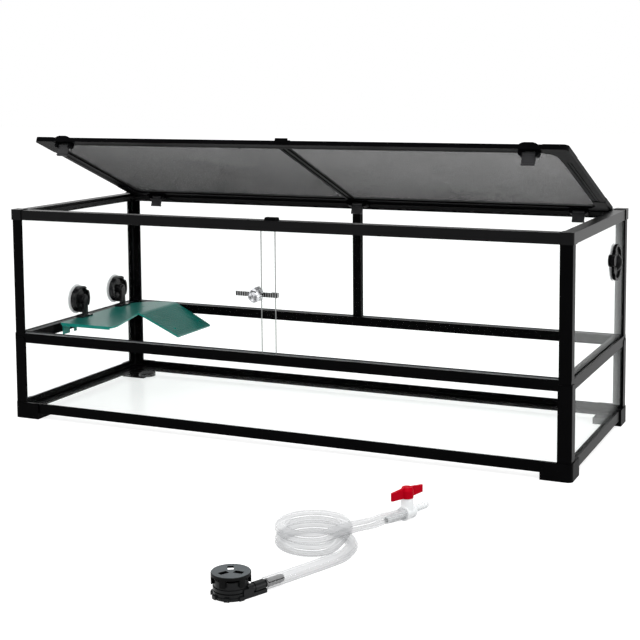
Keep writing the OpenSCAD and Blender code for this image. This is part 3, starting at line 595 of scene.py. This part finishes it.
def wires(lo, hi, start, end, along_y):
    """Straight parallel wires from start to end, spread evenly over lo .. hi.
    Each is a closed bar of diamond section; those along y lie on top."""
    n = int(round((hi - lo) / PITCH_OF_WIRES))
    at = lo + (np.arange(n) + 0.5) * (hi - lo) / n
    r = WIRE / 2
    ring = np.array([[-r, 0], [0, -r], [r, 0], [0, r]])
    across = at[:, None, None] + ring[:, 0]
    ends = np.array([start, end])[:, None]
    pts = np.empty((n, 2, 4, 3))
    pts[..., 0] = across if along_y else ends
    pts[..., 1] = ends if along_y else across
    pts[..., 2] = SCREEN_Z + (r if along_y else -r) * 0.8 + ring[:, 1]
    quads = BAR_FACES[:, ::-1] if along_y else BAR_FACES
    bar = np.arange(n)[:, None, None]
    return pts.reshape(-1, 3), (quads + 8 * bar).reshape(-1, 4)


for side, x, wire in (("left", (-0.5565, -0.009), wire_shaded_left),
                      ("right", (0.009, 0.5565), wire_lit_right)):
    up, up_faces = wires(*x, *SCREEN_Y, True)
    cross, cross_faces = wires(*SCREEN_Y, *x, False)
    screen = piece("screen_" + side, open_lid(np.concatenate([up, cross])),
                   np.concatenate([up_faces, cross_faces + len(up)]), wire,
                   "lid")
    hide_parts("lid_mesh_" + side)


# ---- floor, background and light ----

FLOOR_SIDE, FLOOR_DROP = 14, -0.0005
FLOOR_GLOW = 0.78
SOFT_LIGHT = 0.65


def floor():
    """White floor: a pale diffuse part carries the shadow, and camera,
    glossy and transmission rays also see it lit from within."""
    mesh = bpy.data.meshes.new("floor")
    mesh.from_pydata([(x * FLOOR_SIDE, y * FLOOR_SIDE, FLOOR_DROP)
                      for x, y in ((-1, -1), (1, -1), (1, 1), (-1, 1))], [],
                     [(0, 1, 2, 3)])
    obj = bpy.data.objects.new("floor", mesh)
    scene.collection.objects.link(obj)
    mat, tree = material("floor_white")
    inputs = tree.nodes["Principled BSDF"].inputs
    inputs["Base Color"].default_value = (0.5, 0.5, 0.5, 1)
    inputs["Roughness"].default_value = 0.9
    inputs["Specular IOR Level"].default_value = 0.0
    inputs["Emission Color"].default_value = (1, 1, 1, 1)
    ray = node(tree, "LightPath").outputs
    mirrored = calc(tree, "ADD", ray["Is Glossy Ray"],
                    ray["Is Transmission Ray"], use_clamp=True)
    seen = calc(tree, "ADD", ray["Is Camera Ray"], mirrored, use_clamp=True)
    feed(tree, inputs["Emission Strength"],
         calc(tree, "MULTIPLY", seen, FLOOR_GLOW))
    mesh.materials.append(mat)


def world_light():
    """Camera and transmission rays see white. Mirror rays see a bright
    backdrop behind the object (+Y), a tall white panel on the right (+X) and
    a dark room in front. Soft light comes evenly at SOFT_LIGHT."""
    world = bpy.data.worlds.new("studio")
    scene.world = world
    world.use_nodes = True
    tree = world.node_tree
    inputs = tree.nodes["Background"].inputs
    inputs["Color"].default_value = (1, 1, 1, 1)
    way = axes(tree, node(tree, "TexCoord").outputs["Generated"])
    room = span(tree, way["Y"], -0.5, 0.7, 0.05, 1.12,
                interpolation_type="SMOOTHSTEP")
    panel = span(tree, way["X"], 0.8, 0.95, 0, 4.0,
                 interpolation_type="SMOOTHSTEP")
    ray = node(tree, "LightPath").outputs
    soft = span(tree, ray["Is Glossy Ray"], 0, 1, SOFT_LIGHT,
                calc(tree, "ADD", room, panel))
    seen = calc(tree, "ADD", ray["Is Camera Ray"],
                ray["Is Transmission Ray"], use_clamp=True)
    feed(tree, inputs["Strength"], span(tree, seen, 0, 1, soft, 1.0))


def lamp(name, at, look, size, power):
    """Square area lamp at a point, aimed at another."""
    data = bpy.data.lights.new(name, "AREA")
    data.size = size
    data.energy = power
    obj = bpy.data.objects.new(name, data)
    scene.collection.objects.link(obj)
    obj.location = at
    aim = Matrix.Translation(at).inverted() @ Matrix.Translation(look)
    obj.rotation_euler = aim.translation.to_track_quat("-Z", "Y").to_euler()


floor()
world_light()
lamp("key", (2.2, -2.6, 3.2), (0, -0.1, 0.2), 2.4, 70)
lamp("fill", (-2.6, -2.4, 2.2), (0, 0, 0.25), 2.4, 30)
lamp("top", (0.2, 0.6, 3.4), (0, 0, 0.2), 2.6, 45)

scene.view_settings.view_transform = "Standard"
